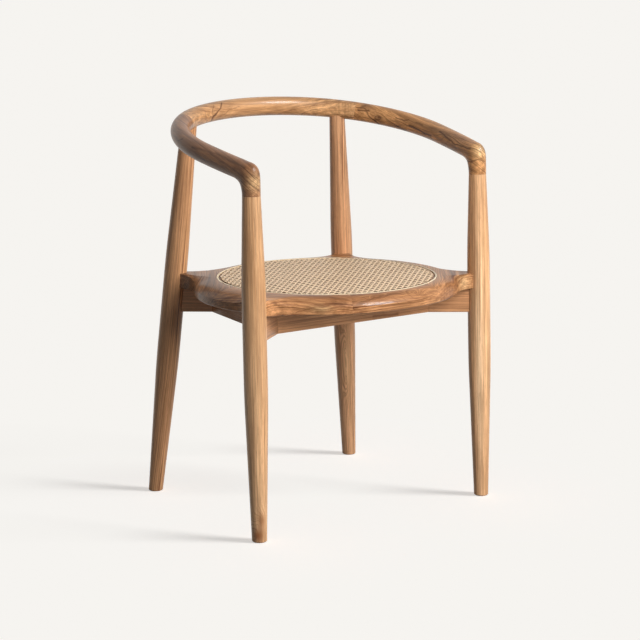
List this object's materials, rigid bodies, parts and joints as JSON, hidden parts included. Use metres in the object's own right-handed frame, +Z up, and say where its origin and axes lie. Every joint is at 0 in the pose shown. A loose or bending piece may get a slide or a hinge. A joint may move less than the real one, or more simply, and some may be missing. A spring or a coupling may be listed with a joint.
{
  "type": "dining armchair",
  "caption": "Wooden dining armchair with a round horseshoe rail that turns down into the front legs, round tapered legs and an oval seat of woven cane.",
  "frame": {"origin": "on the floor, under the middle of the chair's bounding box", "axes": "+Z up, -Y towards the front of the seat, +X to the right as seen from the front"},
  "size_m": [0.5774, 0.511, 0.753],
  "materials": {
    "rail_wood": "satin oil",
    "leg_wood": "satin oil",
    "seat_wood": "satin oil",
    "frame_wood": "satin oil",
    "cane": "natural, lightly glossy",
    "reed": "natural",
    "dowel_wood": "bare",
    "screw_steel": "plated"
  },
  "bodies": {
    "root": {"crest_rail": "rail_wood", "rail_corner_right": "rail_wood", "rail_corner_left": "rail_wood", "arm_right": "rail_wood", "arm_left": "rail_wood", "front_leg_right": "leg_wood", "front_leg_left": "leg_wood", "rear_leg_right": "leg_wood", "rear_leg_left": "leg_wood", "seat_front": "seat_wood", "seat_rear": "seat_wood", "seat_front_right": "seat_wood", "seat_front_left": "seat_wood", "seat_rear_right": "seat_wood", "seat_rear_left": "seat_wood", "front_strut_right": "frame_wood", "front_strut_left": "frame_wood", "rear_strut_right": "frame_wood", "rear_strut_left": "frame_wood", "side_apron_right": "frame_wood", "side_apron_left": "frame_wood", "front_apron": "frame_wood", "rear_apron": "frame_wood", "cane_panel": "cane", "cane_spline": "reed", "rail_dowels": "dowel_wood", "arm_dowels": "dowel_wood", "seat_tenons": "dowel_wood", "apron_tenons": "dowel_wood", "seat_screws": "screw_steel"}
  },
  "joints": []
}
